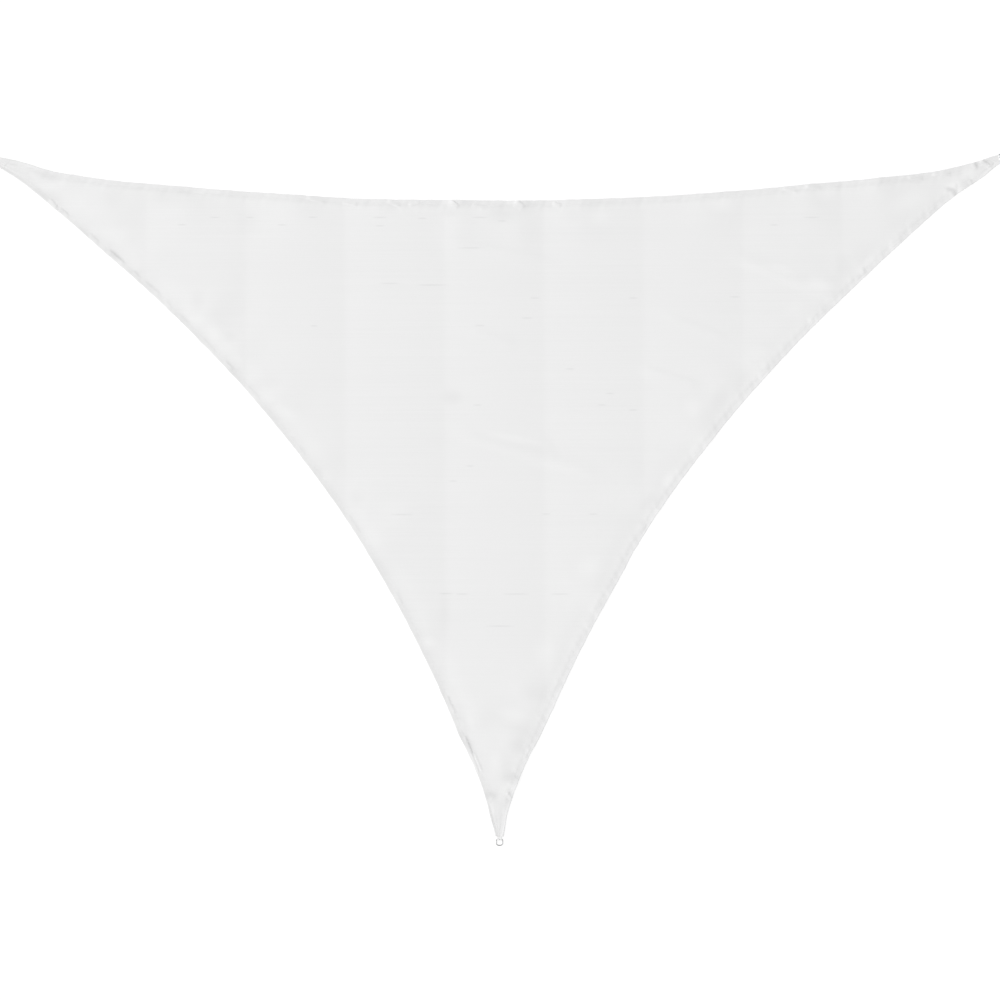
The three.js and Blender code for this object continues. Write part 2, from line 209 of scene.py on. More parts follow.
NECK_FULL = 0.080  # from its end, a neck is whole up to here
NECK_LENGTH = 0.330  # and it has run out into the hems here
NECK_HEM_GAIN = 0.030  # the hems are this much wider in the necks

FOLD_PITCH = 0.5815  # from one packing fold to the next, with the cloth arched between them
FOLD_SHIFT = -0.0175  # x of the middle arch's crown
FOLD_FLAT = 0.012  # width of the flat foot between two arches
FOLDS_EACH_SIDE = 5
FOLD_TOP = 0.1  # no fold shows above this drop
ARCH_HEIGHT = 2.9 * MM
ARCH_FADE = 0.700  # the arches die out from here to a neck

# For each edge, all in mm: place on it (x on the top edge, the drop on a side one), how high the edge
# lifts, how high the cloth puffs up inside it, and how far both reach along it.
PUCKER_CUT = 2.5  # the height is nothing this many reaches away
PUFF_CUT = 3.2  # the same for a puff
PUFF_START, PUFF_RISE, PUFF_FALL = 0.025, 0.090, 0.170  # how far in it starts, rises over and falls over
PUCKERS = {
    "top": (
        (-1811, 5, 2, 80), (-1180, 4, 2, 110), (-232, 7, 2.5, 60), (137, 6, 2.5, 60), (470, 4, 2, 90),
        (1240, 5, 2, 110), (1815, 5, 2.5, 80), (2225, 6, 2, 70),
    ),
    "left": (
        (245, 8, 4, 60), (495, 6, 3, 70), (705, 7, 2.5, 80), (1020, 3, 4.5, 65), (1215, 8, 3.5, 60),
        (1480, 6, 3, 80), (1840, 6, 2.5, 80), (2142, 2, 2.5, 80), (2345, 7, 3, 90), (2810, 6, 3.5, 80),
        (3320, 9, 5.5, 50),
    ),
    "right": (
        (205, 10, 2, 55), (701, 3, 3, 60), (880, 6, 2, 80), (1265, 7, 2.5, 60), (1420, 3, 3, 70),
        (1665, 6, 2.5, 80), (2040, 7, 2.5, 80), (2595, 6, 3, 80), (3065, 5, 3.5, 80), (3190, 3, 5, 70),
        (3443, 3, 4, 50), (3645, 8, 3, 45),
    ),
}

# Sharp tucks of the hems, in mm and degrees: place, in from the edge to the middle, length, how far
# it turns in from the edge's clockwise way, height, widths of its left and right slopes.
TUCK_UNITS = (1000, 1000, 1000, 1, 1000, 1000, 1000)
TUCKS = {
    "top": (
        (-1057, 24, 90, 8, 2, 30, 12), (-858, 30, 80, 6, 2, 30, 12), (-601, 26, 70, 20, 2, 30, 12),
        (-484, 26, 60, -15, 2, 30, 12), (-250, 18, 55, 40, 2.7, 10, 45), (-110, 30, 60, 15, 1.2, 16, 30),
        (135, 14, 55, 38, 2.8, 10, 45), (353, 22, 44, 20, 2.4, 11, 30), (1710, 26, 70, 15, 2.5, 30, 12),
        (1850, 26, 80, 10, 2.5, 30, 12), (2447, 28, 80, 12, 2.5, 30, 12), (2590, 28, 90, 10, 3, 30, 12),
        (2790, 20, 36, 80, 2.6, 12, 26), (2850, 22, 60, 50, 3.4, 12, 28),
    ),
    "left": (
        (278, 20, 60, 190, 1.8, 14, 26), (330, 20, 60, 176, 1.8, 14, 26), (485, 20, 60, 184, 1.3, 16, 28),
        (593, 24, 110, 178, 2.6, 15, 30), (702, 22, 50, 186, 1.2, 16, 28), (781, 27, 110, 176, 1.6, 15, 30),
        (875, 21, 50, 188, 1, 16, 28), (962, 24, 70, 178, 1.3, 15, 28), (1105, 19, 110, 184, 1, 18, 30),
        (1227, 25, 60, 175, 1.5, 14, 28), (1391, 22, 100, 182, 0.9, 18, 30),
        (1730, 24, 70, 184, 0.9, 16, 30), (2160, 21, 110, 178, 0.8, 18, 30), (2590, 25, 80, 184, 1, 16, 30),
        (3191, 22, 60, 182, 1.5, 14, 24), (3238, 26, 50, 174, 1.5, 14, 24),
        (3450, 22, 110, 186, 2.4, 14, 24), (3550, 14, 120, 182, 1.3, 9, 14),
        (3550, 31, 120, 180, 1.3, 9, 14), (3765, 34, 50, 240, 0.7, 14, 22),
    ),
    "right": (
        (78, 20, 40, 150, 1.8, 24, 12), (225, 30, 60, 128, 1.2, 50, 11), (171, 10, 40, 100, 2, 22, 12),
        (340, 20, 50, 176, 1.2, 28, 14), (532, 22, 90, 184, 1.2, 30, 15), (719, 25, 70, 178, 1.6, 28, 14),
        (911, 21, 100, 184, 1.1, 30, 16), (999, 23, 50, 176, 1.6, 28, 14), (1279, 24, 80, 182, 1.2, 30, 15),
        (1760, 21, 110, 178, 0.9, 30, 16), (2190, 25, 70, 182, 1.3, 28, 15),
        (2760, 22, 100, 182, 0.9, 30, 16), (3491, 20, 60, 182, 1.5, 24, 14), (3642, 16, 40, 100, 1, 24, 14),
        (3740, 20, 40, 130, 2, 20, 12),
    ),
}

# Long slack creases of the field, in mm: x and drop of both ends, height, widths of the slopes.
CREASES = (
    ((1400, 590), (1920, 803), 2.6, 70, 55), ((-219, 1617), (558, 1854), 2.2, 70, 55),
    ((856, 1240), (1160, 1335), 1.6, 35, 80), ((-310, 480), (310, 610), 1.4, 40, 80),
    ((-150, 1020), (80, 1090), 1.2, 40, 60), ((1000, 940), (1330, 1060), 1.3, 40, 60),
)
FOLD_ENDS = 0.3  # share of its length over which a tuck or crease dies out

RIPPLE = 1.6 * MM  # the seam thread gathers the hem into small ripples
RIPPLE_LENGTHS = (0.047, 0.079, 0.131, 0.230)
RIPPLE_SEEDS = {"top": 21, "right": 34, "left": 55}
RIPPLE_FADE = 0.050  # they die out this far inside the hem
RIPPLE_LEAN = 0.5  # they slant, this far along for each 1 inwards
RIPPLE_HELD = 0.6  # share of them that the necks hold down
SLACK = 0.5 * MM  # broad unevenness of the whole cloth
SLACK_LENGTHS = (0.31, 0.47, 0.71, 1.10)
SLACK_TURNS = (0.3, -0.4)  # its two sets of waves run askew
SLACK_RISE = 0.2  # from nothing at the edge
GATHER = 0.45 * MM  # the necks are gathered into lengthwise ridges
GATHER_TURN = 0.17  # radians between two ridges, seen from their meeting point
GATHER_FROM = 0.030  # which lies this far outside the neck's end

STITCH_ROWS = (31 * MM, 25 * MM)  # seam rows, in from the edge
STITCH_GROOVE = 0.22 * MM
GROOVE_WIDTH = 1.6 * MM

AT_ONCE = 20000  # points measured in one go, which keeps the memory small


def edge_place(edge, where):
    """A point of an edge, the way along it and the way into the sail."""
    line = EDGES[edge]
    k = np.abs(line[:, 0] - where if edge == "top" else RING_LINE - where - line[:, 1]).argmin()
    into = inward(line)[k]
    return line[k], np.array((-into[1], into[0])), into


def bell(share):
    return np.cos(np.minimum(np.abs(share), 1) * math.pi / 2)


def arches(points, neck_distance):
    half_pitch = FOLD_PITCH / 2
    from_middle = np.abs((points[:, 0] - FOLD_SHIFT + half_pitch) % FOLD_PITCH - half_pitch)
    share = np.minimum(from_middle / (half_pitch - FOLD_FLAT / 2), 1)
    fade = smooth((neck_distance - NECK_FULL) / (ARCH_FADE - NECK_FULL))
    return ARCH_HEIGHT * (1 - share**2) * fade


def puckers(points):
    height = np.zeros(len(points))
    for edge, rows in PUCKERS.items():
        for where, lift, puff, reach in np.array(rows) / 1000:
            middle, way, into = edge_place(edge, where)
            off = points - middle
            near = np.linalg.norm(off, axis=1) < 4 * PUFF_FALL
            along, across = off[near] @ way, off[near] @ into
            lifted = bell(np.hypot(along, across) / (reach * PUCKER_CUT)) ** 4
            rise = smooth((across - PUFF_START) / PUFF_RISE)
            fall = np.exp(-((np.maximum(across - PUFF_START - PUFF_RISE, 0) / PUFF_FALL) ** 2))
            puffed = rise * fall * bell(along / (reach * PUFF_CUT)) ** 4
            height[near] += lift * lifted + puff * puffed
    return height


def tuck_ends(edge, where, inset, length, turned):
    middle, way, into = edge_place(edge, where)
    c, s = math.cos(math.radians(turned)), math.sin(math.radians(turned))
    half_way = (way * c + into * s) * length / 2
    return middle + into * inset - half_way, middle + into * inset + half_way


FOLDS = [(*tuck_ends(edge, *tuck[:4]), *tuck[4:])
         for edge, rows in TUCKS.items() for tuck in np.array(rows) / TUCK_UNITS]
for start, end, *sizes in CREASES:
    FOLDS.append((place(*np.array(start) / 1000), place(*np.array(end) / 1000), *np.array(sizes) / 1000))


def folds(points):
    height = np.zeros(len(points))
    for start, end, rise, left, right in FOLDS:
        length = np.linalg.norm(end - start)
        near = np.linalg.norm(points - (start + end) / 2, axis=1) < length
        way = (end - start) / length
        off = points[near] - start
        along = off @ way / length
        across = way[0] * off[:, 1] - way[1] * off[:, 0]
        ridge = bell(across / np.where(across > 0, left, right)) ** 2
        ends = smooth((along + FOLD_ENDS / 2) / FOLD_ENDS) * smooth((1 + FOLD_ENDS / 2 - along) / FOLD_ENDS)
        height[near] += rise * ridge * ends
    return height


def gathers(points, neck):
    height = np.zeros(len(points))
    for corner, (_, _, turn) in CORNERS.items():
        off = points - at_corner(corner, 0, NECK_BACK[corner] - GATHER_FROM)
        across = off @ np.array((math.cos(turn), math.sin(turn)))
        back = off @ np.array((-math.sin(turn), math.cos(turn)))
        angle = np.arctan2(across, np.maximum(back, MM))
        near = np.linalg.norm(off, axis=1) < NECK_LENGTH + NECK_BACK[corner]
        height += near * (1 + np.cos(angle * 2 * math.pi / GATHER_TURN)) / 2
    return GATHER * height * neck


def nearest(line, points, stride=4):
    """For each point: distance to the line, and how far along the line its nearest place is."""
    marks = line[::stride]
    found = np.empty(len(points), int)
    for first in range(0, len(points), AT_ONCE):
        part = points[first:first + AT_ONCE]
        away = (part[:, None, 0] - marks[:, 0]) ** 2 + (part[:, None, 1] - marks[:, 1]) ** 2
        found[first:first + AT_ONCE] = away.argmin(axis=1) * stride
    segments = np.clip(found[:, None] + np.arange(-stride, stride + 1), 0, len(line) - 2)
    start, way = line[segments], line[segments + 1] - line[segments]
    length = (way**2).sum(axis=2)
    share = np.clip(((points[:, None] - start) * way).sum(axis=2) / length, 0, 1)
    away = np.linalg.norm(start + way * share[..., None] - points[:, None], axis=2)
    best = away.argmin(axis=1)
    rows = np.arange(len(points))
    return away[rows, best], (segments[rows, best] + share[rows, best]) * STATION


def survey(points):
    """All that the cloth's shape needs at each point: distances, shares and the height beneath it."""
    found = {edge: nearest(line, points) for edge, line in EDGES.items()}
    inside = np.min([distance for distance, _ in found.values()], axis=0)
    neck_distance = np.min([np.linalg.norm(points - end, axis=1) for end in NECK_ENDS.values()], axis=0)
    neck = 1 - smooth((neck_distance - NECK_FULL) / (NECK_LENGTH - NECK_FULL))
    past_hem = inside - HEM_WIDTH - NECK_HEM_GAIN * neck
    ripple = np.zeros(len(points))
    for edge, (distance, along) in found.items():
        share = 1 - smooth((distance - HEM_WIDTH) / RIPPLE_FADE)
        slanted = along + RIPPLE_LEAN * distance
        ripple = np.maximum(ripple, (1 + waves(slanted, RIPPLE_LENGTHS, RIPPLE_SEEDS[edge])) / 2 * share)
    full = sum(smooth((found[edge][0] - FULL_START) / FULL_RISE)
               * np.exp(-((np.maximum(found[edge][0] - FULL_START - FULL_RISE, 0) / FULL_FALL) ** 2))
               for edge in ("left", "right"))
    slack = waves(points[:, 0] + SLACK_TURNS[0] * points[:, 1], SLACK_LENGTHS, 4)
    slack = slack * waves(points[:, 1] + SLACK_TURNS[1] * points[:, 0], SLACK_LENGTHS, 5)
    base = arches(points, neck_distance) + puckers(points) + folds(points)
    base += SLACK * (1 + slack) * smooth(inside / SLACK_RISE)
    base += RIPPLE * ripple * (1 - RIPPLE_HELD * neck) + FULLNESS * full * (1 - neck)
    along = np.array([along for _, along in found.values()])
    along = along[np.argmin([distance for distance, _ in found.values()], axis=0), np.arange(len(points))]
    return {"inside": inside, "along": along, "neck": neck, "past_hem": past_hem, "base": base}


def in_hem(at):
    return 1 - smooth(at["past_hem"] / (HEM_STEP + NECK_BLEND * at["neck"]))


def hem_thickness(at):
    start, end = WEBBING_EDGE
    hem = HEM_THICK + (HEM_TURNED - HEM_THICK) * smooth((at["inside"] - start) / (end - start))
    return hem + at["neck"] * (NECK_THICK - HEM_THICK - NECK_DIP * smooth(at["inside"] / NECK_SIDE))


def thickness(at):
    return CLOTH_THICK + (hem_thickness(at) - CLOTH_THICK) * in_hem(at)


def rounding(at):
    """0 at the very edge and 1 where the rounded edge is over."""
    return (1 - (1 - np.minimum(at["inside"] / EDGE_ROUND, 1)) ** 4) ** 0.25


def upper_side(points, at):
    """The hem is turned under, so the upper side runs on over its inner edge and then comes down."""
    settled = smooth(at["past_hem"] / SETTLING)
    groove = sum(np.exp(-(((at["inside"] - row) / GROOVE_WIDTH) ** 2)) for row in STITCH_ROWS)
    shape = hem_thickness(at) + (CLOTH_THICK - hem_thickness(at)) * settled + gathers(points, at["neck"])
    return at["base"] + shape - STITCH_GROOVE * groove * (1 - at["neck"]) * in_hem(at)


def top_height(points, at):
    return upper_side(points, at) - thickness(at) * (1 - rounding(at)) / 2


def under_height(points, at):
    return upper_side(points, at) - thickness(at) * (1 + rounding(at)) / 2


# ------------------------------------------------------------------ sail cloth: mesh
# The upper and the lower side share the outer edge. Rows of points follow the hems, and an even net
# of points fills the sail inside them.

# How far in from the edge the rows lie
TOP_ROWS = tuple(row * MM for row in (0.15, 0.6, 4, 7, 10, 13, 16.5, 20.5, 23.4, 25, 26.6, 29.4, 31, 32.6,
                                      36, 41, 47, 57))
UNDER_ROWS = tuple(row * MM for row in (0.3, 0.8, 14, 36))
TOP_NET = 0.0172  # pitch of the even net of the upper side
UNDER_NET = 0.045
FOLD_NET = 0.007  # closer points over the tucks and creases
TUCK_LINES, FLECK_LINES = 9, 5  # closer rows across a tuck or crease, and across a fleck
NET_GAP = 0.4  # share of the even net's pitch that it keeps from the closer points
CLOSER_AT_ONCE = 500  # closer points measured in one go
NECK_STEPS = 8  # of the border across a neck's cut end
ROW_SLIP = 0.2 * MM  # a row's points may lie this much nearer to an edge than the row does
NECK_GAP = 2 * MM  # the hems' rows of points end this far from a neck's cut end

# Soft patches of painted shade and painted light that stand in for the shading of small puckers: x, drop,
# half length and half width in mm, degrees from level, and what percentage of the shade tone they add or
# take away.
PAINTED_SHADING_PATCHES = np.array((
    (-2627, 108, 105, 64, -12, 28), (-2861, 7, 94, 41, -15, 14), (-2674, 201, 88, 35, -40, 22),
    (-2552, 313, 47, 29, -42, 17), (-2406, 442, 105, 41, -42, 20), (-2243, 571, 82, 41, -40, 28),
    (-2138, 671, 70, 35, -42, 17), (-2033, 771, 76, 35, -42, 11), (-1852, 947, 76, 35, -45, 22),
    (-1758, 848, 117, 64, 80, 11), (-1914, 222, 187, 94, -5, 14), (-1843, 187, 94, 53, -5, 14),
    (-2253, 232, 94, 105, 0, 8), (-2365, 372, 105, 70, 0, 8), (-276, 309, 76, 70, 0, 17),
    (46, 328, 164, 88, 0, 17), (426, 341, 82, 64, 0, 8), (-639, 296, 105, 53, 0, 8),
    (2649, 200, 41, 24, -10, 55), (2673, 223, 36, 24, -65, 65), (2796, 57, 35, 35, 0, 25),
    (2860, 46, 41, 29, 0, 25), (2028, 645, 117, 76, 100, 14), (2098, 716, 70, 47, 80, 14),
    (1904, 890, 70, 70, 0, 14), (2445, 144, 59, 41, 0, 14), (-1362, 1317, 140, 88, 20, 11),
    (-838, 2004, 82, 94, 0, 11), (888, 2028, 105, 82, 60, 20), (1552, 1252, 59, 47, 0, 17),
    (1299, 1415, 140, 70, 70, 11), (605, 2623, 59, 59, 0, 17), (-188, 3434, 94, 47, -60, 34),
    (-310, 3187, 94, 35, -62, 20), (-211, 3240, 94, 70, -50, 11), (75, 3633, 82, 59, 0, 39),
    (57, 3756, 82, 41, 80, 20), (-49, 3732, 70, 35, 0, 20), (193, 3131, 105, 88, 0, 11),
    (122, 3452, 117, 76, -20, 17), (-314, 2649, 176, 53, 90, 8), (346, 3102, 70, 29, 62, 17),
    (-268, 1403, 90, 70, 0, 14), (-1458, 375, 105, 117, 0, 7), (304, 1686, 129, 53, -60, 7),
    (-1566, 1048, 60, 53, 0, 11), (1350, 274, 94, 94, 0, -11), (-1709, 187, 129, 59, -3, -17),
    (-2236, 448, 140, 88, 10, -11), (-2307, 513, 53, 41, -42, -17), (-2593, 260, 53, 35, -42, -20),
    (-2062, 701, 59, 53, 0, -11), (-1665, 1024, 70, 88, 0, -13), (-1543, 1200, 76, 76, 0, -17),
    (-1257, 1487, 117, 64, -30, -11), (-1013, 1874, 70, 82, 0, -14), (-633, 2075, 152, 117, 0, -7),
    (-431, 2842, 88, 59, 0, -17), (-228, 3328, 59, 41, -60, -28), (76, 3265, 152, 76, -15, -14),
    (270, 2897, 105, 129, 0, -11), (-19, 3539, 53, 94, 0, -11), (-43, 3808, 82, 41, -75, -20),
    (535, 2407, 117, 105, 0, -11), (994, 1893, 82, 53, 60, -14), (1141, 1473, 82, 94, 0, -11),
    (1534, 1152, 94, 59, 0, -11), (1746, 913, 94, 94, 0, -8), (1893, 762, 140, 59, -18, -20),
    (1671, 667, 140, 41, -18, -11), (1980, 844, 70, 41, 45, -22), (1845, 972, 47, 53, 0, -17),
    (2180, 622, 82, 47, 42, -17), (2315, 529, 59, 41, 42, -17), (1924, 206, 88, 88, 0, -14),
    (1292, 268, 94, 105, 0, -11), (2427, 261, 187, 88, 25, -11), (2755, 104, 76, 88, 0, -22),
    (601, 348, 94, 82, 0, -10), (192, 235, 64, 53, 0, -17), (70, 1644, 281, 35, -11, -11),
)) / (1000, 1000, 1000, 1000, 1, 100)

# Short level flecks of painted shade where loops of the knit are pulled: x, drop and half length in mm
FLECKS = np.array((
    (-686, 352, 41), (-686, 401, 23), (-440, 358, 23), (-101, 354, 47), (28, 375, 23), (-629, 738, 59),
    (-383, 748, 88), (219, 826, 29), (172, 943, 29), (793, 828, 23), (-103, 986, 29), (423, 1242, 23),
    (656, 1386, 23), (609, 1453, 23), (790, 1483, 23), (-119, 1451, 23), (-164, 1807, 23), (-264, 1895, 23),
    (-563, 2090, 70), (279, 2090, 23), (554, 2091, 23), (-1844, 391, 23), (-1651, 348, 29),
    (-1446, 349, 23), (-1259, 394, 23), (-1078, 350, 23), (-1074, 985, 18), (1836, 361, 47),
    (1619, 404, 23), (-308, 2553, 41), (-214, 2556, 35), (102, 2557, 82), (359, 2558, 59), (8, 2744, 88),
    (-160, 532, 82), (2119, 1154, 18), (1389, 824, 29),
)) / 1000
FLECK_WIDTH = 0.007
FLECK_SHADE = 0.28


def outline():
    """The sail's edge as one loop, clockwise, with the cut ends of its three necks."""
    lines = [EDGES[edge] for edge in ("top", "right", "left")]
    share = np.linspace(0, 1, NECK_STEPS + 1)[1:-1, None]
    parts = []
    for line, following in zip(lines, lines[1:] + lines[:1]):
        parts += [line, line[-1] * (1 - share) + following[0] * share]
    return np.vstack(parts)


def from_edges(points):
    """How far each point is from the nearest edge."""
    return np.min([nearest(line, points)[0] for line in EDGES.values()], axis=0)


def inside_necks(points, clear):
    """How far each point is from the nearest edge: nothing where it is past a neck's end, or near it."""
    inside = from_edges(points)
    for corner, (_, _, turn) in CORNERS.items():
        back = (points - NECK_ENDS[corner]) @ np.array((-math.sin(turn), math.cos(turn)))
        near = np.linalg.norm(points - NECK_ENDS[corner], axis=1) < NECK_FULL
        inside = np.where(near & (back < clear), 0, inside)
    return inside


def rows_of(edge, offsets):
    """Points of one hem at these distances from its edge, without those nearer to another edge."""
    line, into = EDGES[edge], inward(EDGES[edge])
    offset = np.repeat(offsets, len(line))
    points = np.tile(line, (len(offsets), 1)) + np.tile(into, (len(offsets), 1)) * offset[:, None]
    return points[inside_necks(points, NECK_GAP) > offset - ROW_SLIP]


def inside_sail(points, clear):
    """Those of the points that lie inside the sail, clear of its edge."""
    top, right, left = EDGES["top"], EDGES["right"][::-1], EDGES["left"]
    inside = points[:, 1] < np.interp(points[:, 0], top[:, 0], top[:, 1])
    inside &= points[:, 0] < np.interp(points[:, 1], right[:, 1], right[:, 0])
    inside &= points[:, 0] > np.interp(points[:, 1], left[:, 1], left[:, 0])
    points = points[inside]
    return points[from_edges(points) > clear]


def net(pitch, clear):
    """Even net of points inside the sail, clear of its edge."""
    rows = int(DROP / (pitch * math.sqrt(3) / 2)) + 1
    columns = int(SPAN / pitch) + 1
    row, column = np.mgrid[0:rows, 0:columns]
    x = (column + (row % 2) / 2 - columns / 2) * pitch
    y = RING_LINE - row * pitch * math.sqrt(3) / 2
    return inside_sail(np.column_stack((x.ravel(), y.ravel())), clear)


def fold_net():
    """Closer rows of points over tucks, creases and flecks, and along the foot of every packing fold."""
    rows = []
    for start, end, _, left, right in FOLDS:
        length = np.linalg.norm(end - start)
        steps = round(length * (1 + FOLD_ENDS) / FOLD_NET) + 1
        along = np.linspace(-FOLD_ENDS / 2, 1 + FOLD_ENDS / 2, steps)
        way = (end - start) / length
        for share in np.linspace(1, -1, TUCK_LINES):
            across = share * (left if share > 0 else right)
            rows.append(start + along[:, None] * (end - start) + np.array((-way[1], way[0])) * across)
    for x, drop, reach in FLECKS:
        along = np.arange(-reach - FOLD_NET, reach + 1.5 * FOLD_NET, FOLD_NET)
        for across in np.linspace(-FLECK_WIDTH, FLECK_WIDTH, FLECK_LINES):
            rows.append(np.column_stack((x + along, np.full(len(along), RING_LINE - drop + across))))
    drops = np.arange(FOLD_TOP, DROP, TOP_NET)
    for fold in range(-FOLDS_EACH_SIDE, FOLDS_EACH_SIDE + 1):
        for side_of_fold in (-1, 1):
            x = FOLD_SHIFT + (fold + 0.5) * FOLD_PITCH + side_of_fold * FOLD_FLAT / 2
            rows.append(np.column_stack((np.full(len(drops), x), RING_LINE - drops)))
    return inside_sail(np.vstack(rows), TOP_ROWS[-1] + FOLD_NET / 2)


def shades(points):
    """Share of the shade tone that the patches of painted shade and light and the flecks of painted shade
    add at each point.
    """
    shade = np.zeros(len(points))
    for x, drop, length, width, degrees, amount in PAINTED_SHADING_PATCHES:
        c, s = math.cos(math.radians(degrees)), math.sin(math.radians(degrees))
        off = points - place(x, drop)
        shade += amount * bell(np.hypot((off @ (c, s)) / length, (off @ (-s, c)) / width)) ** 2
    for x, drop, reach in FLECKS:
        off = np.abs(points - place(x, drop))
        shade += FLECK_SHADE * bell(off[:, 0] / (reach + FOLD_NET)) * bell(off[:, 1] / FLECK_WIDTH) ** 2
    return shade


def layer(border, inner):
    """Triangles over the border's inside that use all the points."""
    points = np.vstack((border, inner))
    loop = [(k, (k + 1) % len(border)) for k in range(len(border))]
    found = delaunay_2d_cdt([Vector(point) for point in points], loop, [], 1, 1e-7)
    origin = np.array([origins[0] for origins in found[3]])
    return points, origin[np.array(found[2])]


def facing(points, triangles, up):
    """The triangles, wound so that they all face up, or all down."""
    a, b, c = (points[triangles[:, k]] for k in range(3))
    area = (b[:, 0] - a[:, 0]) * (c[:, 1] - a[:, 1]) - (b[:, 1] - a[:, 1]) * (c[:, 0] - a[:, 0])
    turn = (area > 0) != up
    triangles[turn] = triangles[turn][:, ::-1]
    return triangles


def mesh_piece(name, vertices, faces, attributes=()):
    """A smooth piece from its corners, its faces and the values that its material reads."""
    mesh = bpy.data.meshes.new(name)
    mesh.from_pydata(vertices.tolist(), [], faces)
    for key, values in dict(attributes).items():
        mesh.attributes.new(key, "FLOAT", "POINT").data.foreach_set("value", values)
    mesh.polygons.foreach_set("use_smooth", np.ones(len(mesh.polygons), bool))
    piece = bpy.data.objects.new(name, mesh)
    bpy.context.collection.objects.link(piece)
    return piece


border = outline()
closer = fold_net()
even = net(TOP_NET, TOP_ROWS[-1] + TOP_NET / 2)
from_closer = np.full(len(even), SPAN)
for part in np.array_split(closer, len(closer) // CLOSER_AT_ONCE):
    away = np.hypot(even[:, None, 0] - part[:, 0], even[:, None, 1] - part[:, 1]).min(axis=1)
    from_closer = np.minimum(from_closer, away)
even = even[from_closer > NET_GAP * TOP_NET]
top_points = np.vstack([rows_of(edge, TOP_ROWS) for edge in EDGES] + [closer, even])
under_points = np.vstack([rows_of(edge, UNDER_ROWS) for edge in EDGES]
                         + [net(UNDER_NET, UNDER_ROWS[-1] + UNDER_NET / 2)])
top_points, top_triangles = layer(border, top_points)
under_points, under_triangles = layer(border, under_points)
top_at, under_at = survey(top_points), survey(under_points)
top_z = top_height(top_points, top_at)
under_z = np.maximum(under_height(under_points, under_at), 0)

edge_count, top_count = len(border), len(top_points)
top_triangles = facing(top_points, top_triangles, True)
under_triangles = facing(under_points, under_triangles, False)
under_triangles = np.where(under_triangles < edge_count, under_triangles,
                           under_triangles + top_count - edge_count)
vertices = np.vstack((np.column_stack((top_points, top_z)),
                      np.column_stack((under_points, under_z))[edge_count:]))
inside, along, past_hem = (np.concatenate((top_at[key], under_at[key][edge_count:]))
                           for key in ("inside", "along", "past_hem"))
# The shade attribute holds the painted shade and light of the patches and flecks.
sail = mesh_piece("sail_sheet", vertices, np.vstack((top_triangles, under_triangles)).tolist(),
                  {"hem": 1 - smooth(past_hem / HEM_BLUR), "inside": inside * 1000, "along": along,
                   "shade": shades(vertices[:, :2])})

# ------------------------------------------------------------------ sail cloth: material
# Monofilament and tape yarns, knitted into level ribs with slanting tapes between them. The white is a
# little uneven from row to row, and the doubled hem is a shade darker. Painted shade darkens the openings
# between the ribs, the hem's drawn-in places and its seam rows, and patches of painted shade and light lie
# over the cloth.

RIB = 3.2  # mm between two ribs
RIB_FULLNESS = 0.7  # under 1 makes a rib broader on top
LOOP = 2.4  # mm between two loops of a rib
LOOP_LEAN = 2.4  # how many loops they lean sideways in one rib
LOOP_DEPTH = 0.28  # of a rib's height
TAPE_HEIGHT = 0.55
CLOTH_WHITE = (0.800, 0.800, 0.799, 1)
CLOTH_SHADE = (0.560, 0.560, 0.562, 1)
FULL_TURN = 2 * math.pi

# How much of the shade tone each thing takes
PLAIN_TONE, TONE_SPAN = 0.3, 0.7
OPEN_SHADE = 0.55  # painted shade in the openings between the ribs
STREAK_TONE, BAND_TONE = 0.22, 0.10  # level streaks of single rows, and wider bands
HEM_DOUBLED, HEM_MOTTLE, HEM_GATHER_SHADE = 0.17, 0.15, 0.25  # the doubled hem, how uneven its tone is, and painted shade where the seams draw it in
HEM_CLOSED = 0.5  # share of its openings that the doubled hem closes
SEAM_SHADE = 0.05
SEAM_MIDDLE, SEAM_SPREAD = 28.0, 10.0  # mm, the painted shadow along the drawn-in seam rows
SEAM_FROM, SEAM_GAIN = 0.45, 5.0  # where along the hem they show
DRAWN_ALONG, DRAWN_ACROSS = 14.0, 0.12  # the hem's drawn places of painted shade: per metre along, per mm across
CLOTH_ROUGH, OPEN_ROUGH = 0.55, 0.25


class Signal:
    """The output of a shader node. Arithmetic on it adds Math nodes."""

    def __init__(self, socket):
        self.socket = socket
        self.tree = socket.id_data

    def math(self, operation, *others):
        sockets = dict(enumerate((self, *others)))
        return add_node(self.tree, "ShaderNodeMath", {"operation": operation}, sockets)

    def __add__(self, other):
        return self.math("ADD", other)

    def __sub__(self, other):
        return self.math("SUBTRACT", other)

    def __mul__(self, other):
        return self.math("MULTIPLY", other)

    def __truediv__(self, other):
        return self.math("DIVIDE", other)

    def __pow__(self, other):
        return self.math("POWER", other)

    def __rsub__(self, other):
        return add_node(self.tree, "ShaderNodeMath", {"operation": "SUBTRACT"}, {0: other, 1: self})

    __radd__ = __add__
    __rmul__ = __mul__

    def sine(self):
        return self.math("SINE")

    def fraction(self):
        return self.math("FRACT")

    def size(self):
        return self.math("ABSOLUTE")

    def limited(self):
        return add_node(self.tree, "ShaderNodeClamp", {}, {"Value": self})

    def wave(self):
        """Rises and falls between 0 and 1, once for each 1 of the signal."""
        return (self * FULL_TURN).sine() * 0.5 + 0.5


def add_node(tree, kind, settings, sockets, output=0):
    """Adds one shader node and returns one of its outputs."""
    node = tree.nodes.new(kind)
    for key, value in settings.items():
        setattr(node, key, value)
    for key, value in sockets.items():
        if isinstance(value, Signal):
            tree.links.new(value.socket, node.inputs[key])
        else:
            node.inputs[key].default_value = value
    return Signal(node.outputs[output])


